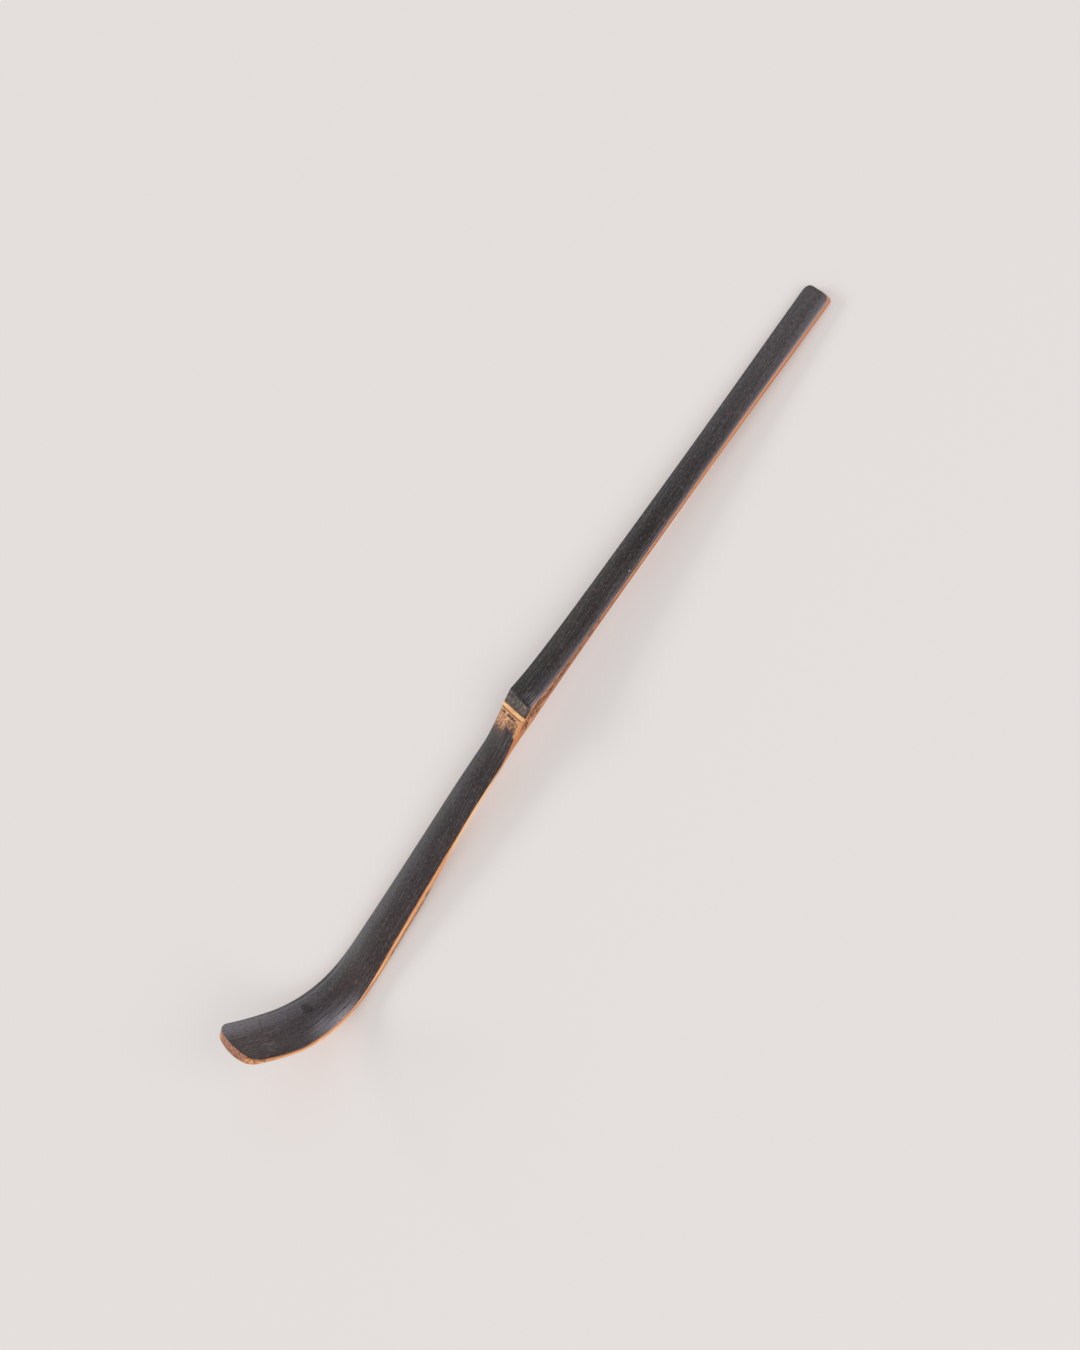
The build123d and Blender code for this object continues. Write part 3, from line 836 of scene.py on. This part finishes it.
# The handle's skin is the culm's own outer layer above the node, smoked black and rubbed to a
# soft sheen, part of which is painted into its colour. It grows on the wood, and runs from the
# square end over the crest to the scar.
skin_paint = bamboo_paint("smoked_skin")


def skin_lines(places):
    """The skin's lines, closed at both of its ends."""
    first = [(places[0], 0.0, arris_radius, close) for close in (0.0, 0.5)]
    last = [(places[-1], 0.0, arris_radius, close) for close in (0.5, 0.0)]
    return first + [(place, 0.0, arris_radius, 1.0) for place in places] + last


handle_skin = wrapped("skin_of_handle", skin_lines(above_scar), skin_thickness)
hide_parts("handle_skin")
handle_skin.data.materials.append(skin_paint)

# The bowl's skin is the same outer layer below the node. It starts under the patch where it
# was shaved off, widens down the throat, and lines the bowl's hollow to its rounded tip.
bowl_skin = wrapped("skin_of_bowl", skin_lines(below_patch), skin_thickness)
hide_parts("bowl_skin")
bowl_skin.data.materials.append(skin_paint)

# The scar is the cut stub of the leaf sheath, which grew out of the node. It is a pale bar
# across the front, let into the wood and a little proud of it, with rounded edges.
scar_proud = 0.12
scar_rounding = 0.22
scar_corner = 0.26
scar_draw = 0.25
scar_flat = 0.4
bar_lines = 12
bar_rounding = 0.02
scar_middle = (scar_top + scar_foot) / 2
scar_half = (scar_foot - scar_top) / 2
lines = []
for i in range(bar_lines + 1):
    turn = pi * i / bar_lines
    off = max((abs(cos(turn)) - scar_flat) / (1 - scar_flat), 0.0)
    rounded = 1 - sqrt(max(1 - off**2, 0.0))
    top = -scar_proud + scar_rounding * rounded
    drawn_in = ("reach", -scar_draw * rounded)
    lines.append((scar_middle - scar_half * cos(turn), top, scar_corner, 1.0, drawn_in))
first = [(*lines[0][:2], bar_rounding, close, drawn_in) for close in (0.0, 0.5)]
last = [(*lines[-1][:2], bar_rounding, close, drawn_in) for close in (0.5, 0.0)]
scar = wrapped("sheath_stub", first + lines + last, scar_depth)
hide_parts("sheath_scar")

paint, spot = empty_paint("sheath_stub")
fibres = spot.noise(0.16, 1.6, 0.3, 3.0)
colour = fibres.stepped(0.38, 0.62).mixed(seen(222, 158, 96), seen(248, 200, 138))
spots = spot.noise(0.5, 0.5, 0.5, 1.0).stepped(0.62, 0.7)
colour = (spots * 0.6).mixed(colour, seen(255, 226, 178))
specks = spot.dashes(0.3, 0.3, 0.3, 0.12)
colour = (specks * 0.5).mixed(colour, seen(150, 96, 58))
# Painted shade: the bar's lower edge is browner, where its rounding turns away from the light.
low_edge_shade = spot.place.stepped(scar_foot - 0.16, scar_foot - 0.02)
colour = (low_edge_shade * 0.6).mixed(colour, seen(186, 112, 58))
sides = spot.depth.stepped(0.0, 0.3)
colour = (sides * 0.6).mixed(colour, seen(172, 108, 62))
coated(spot, colour, 0.5 + fibres * 0.2, fibres)
scar.data.materials.append(paint)

# The root of the cross wall, which closed the culm at the node, was cut off on the back. It
# leaves a hard bar of short crossing fibres, planed nearly level with the wood round it.
wall_place = ridge + 1.3
wall_half = 0.75
wall_depth = 0.45
wall_proud = 0.07
lines = []
for i in range(bar_lines + 1):
    turn = pi * i / bar_lines
    place = wall_place - wall_half * cos(turn)
    proud = ("side", wall_proud * sin(turn))
    drawn_in = ("reach", -back_bevel - 0.25 * abs(cos(turn)) ** 4)
    top = Cut(place).back(0) - wall_depth * (0.3 + 0.7 * sin(turn))
    lines.append((place, top, bar_rounding, 1.0, proud, drawn_in))
first = [(*lines[0][:3], close, *lines[0][4:]) for close in (0.0, 0.5)]
last = [(*lines[-1][:3], close, *lines[-1][4:]) for close in (0.5, 0.0)]
cross_wall = wrapped("cross_wall", first + lines + last)
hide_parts("diaphragm_root")

paint, spot = empty_paint("cross_wall")
crossing = spot.noise(0.3, 1.4, 0.3, 3.0)
colour = crossing.stepped(0.36, 0.64).mixed(seen(156, 100, 66), seen(214, 158, 112))
pores = spot.dashes(0.22, 0.26, 0.3, 0.45)
colour = (pores * 0.6).mixed(colour, seen(98, 62, 46))
height = crossing - pores * 0.5
coated(spot, colour, 0.5 + crossing * 0.25, height, lift=0.04, strength=0.6)
cross_wall.data.materials.append(paint)

low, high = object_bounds()
